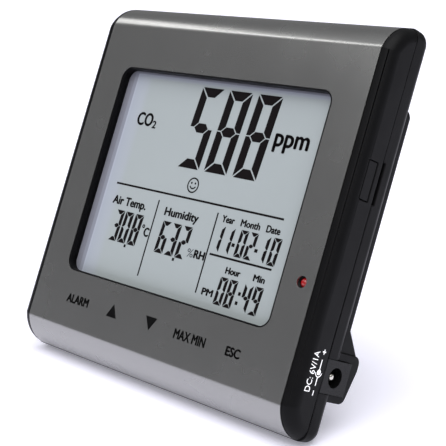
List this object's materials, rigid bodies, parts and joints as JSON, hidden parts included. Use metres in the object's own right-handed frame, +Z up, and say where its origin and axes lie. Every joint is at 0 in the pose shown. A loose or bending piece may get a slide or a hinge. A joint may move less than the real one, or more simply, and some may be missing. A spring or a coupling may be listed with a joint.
{
  "type": "desk carbon dioxide monitor",
  "caption": "Desktop air monitor: a slim square case with black ends and a large digital display, leaning back on a fold-out stand, with soft-touch keys, a red alarm lamp and a round DC socket.",
  "frame": {"origin": "on the table under the middle of the outer box", "axes": "+Z up from the table, -Y towards the person reading the display, +X to that person's right"},
  "size_m": [0.12, 0.0736, 0.1099],
  "materials": {
    "silver": "satin, sprayed silver-grey",
    "black_plastic": "fine matte grain",
    "display_glass": "clear with a polariser film",
    "reflector": "pearl",
    "white_plastic": "moulded",
    "contact_rubber": "layered",
    "board": "solder mask",
    "screw_steel": "plated",
    "chip": "moulded",
    "can": "brushed",
    "gold": "gold plated",
    "filter": "porous white membrane",
    "red_lens": "clear red",
    "pin_metal": "bright nickel",
    "rubber": "soft"
  },
  "bodies": {
    "housing": {"alarm_lamp": "red_lens", "alarm_lamp_leads": "can", "board_chips": "chip", "board_screws": "screw_steel", "buzzer": "chip", "case_screws": "screw_steel", "clock_cell": "can", "clock_cell_holder": "white_plastic", "display_contact_strips": "contact_rubber", "display_frame": "white_plastic", "display_front_glass": "display_glass", "display_rear_glass": "display_glass", "display_reflector": "reflector", "front_case": "black_plastic", "front_panel": "silver", "gas_sensor_board": "board", "gas_sensor_chamber": "gold", "gas_sensor_detector": "can", "gas_sensor_filter": "filter", "gas_sensor_lamp": "can", "gas_sensor_pins": "gold", "humidity_sensor": "white_plastic", "key_switches": "chip", "main_board": "board", "port_plug": "black_plastic", "power_capacitor": "can", "power_socket": "black_plastic", "power_socket_pin": "pin_metal", "rear_cover": "black_plastic", "rubber_feet": "rubber", "stand_pin": "screw_steel"},
    "stand": {"stand_leg": "black_plastic", "stand_pad": "rubber"},
    "key_alarm": {"key_plunger_alarm": "white_plastic", "key_stem_alarm": "chip"},
    "key_up": {"key_plunger_up": "white_plastic", "key_stem_up": "chip"},
    "key_down": {"key_plunger_down": "white_plastic", "key_stem_down": "chip"},
    "key_max_min": {"key_plunger_max_min": "white_plastic", "key_stem_max_min": "chip"},
    "key_escape": {"key_plunger_escape": "white_plastic", "key_stem_escape": "chip"}
  },
  "joints": [
    {"name": "stand_fold", "type": "hinge", "parent": "housing", "child": "stand", "pos_m": [0, 0.0108, 0.07754], "axis": [-1, 0, 0], "range_deg": [0, 40.37]},
    {"name": "key_alarm_press", "type": "slide", "parent": "housing", "child": "key_alarm", "axis": [0, 0.9215, -0.3885], "range_m": [0, 0.00025], "stiffness_N_per_m": 2000},
    {"name": "key_up_press", "type": "slide", "parent": "housing", "child": "key_up", "axis": [0, 0.9215, -0.3885], "range_m": [0, 0.00025], "stiffness_N_per_m": 2000},
    {"name": "key_down_press", "type": "slide", "parent": "housing", "child": "key_down", "axis": [0, 0.9215, -0.3885], "range_m": [0, 0.00025], "stiffness_N_per_m": 2000},
    {"name": "key_max_min_press", "type": "slide", "parent": "housing", "child": "key_max_min", "axis": [0, 0.9215, -0.3885], "range_m": [0, 0.00025], "stiffness_N_per_m": 2000},
    {"name": "key_escape_press", "type": "slide", "parent": "housing", "child": "key_escape", "axis": [0, 0.9215, -0.3885], "range_m": [0, 0.00025], "stiffness_N_per_m": 2000}
  ]
}
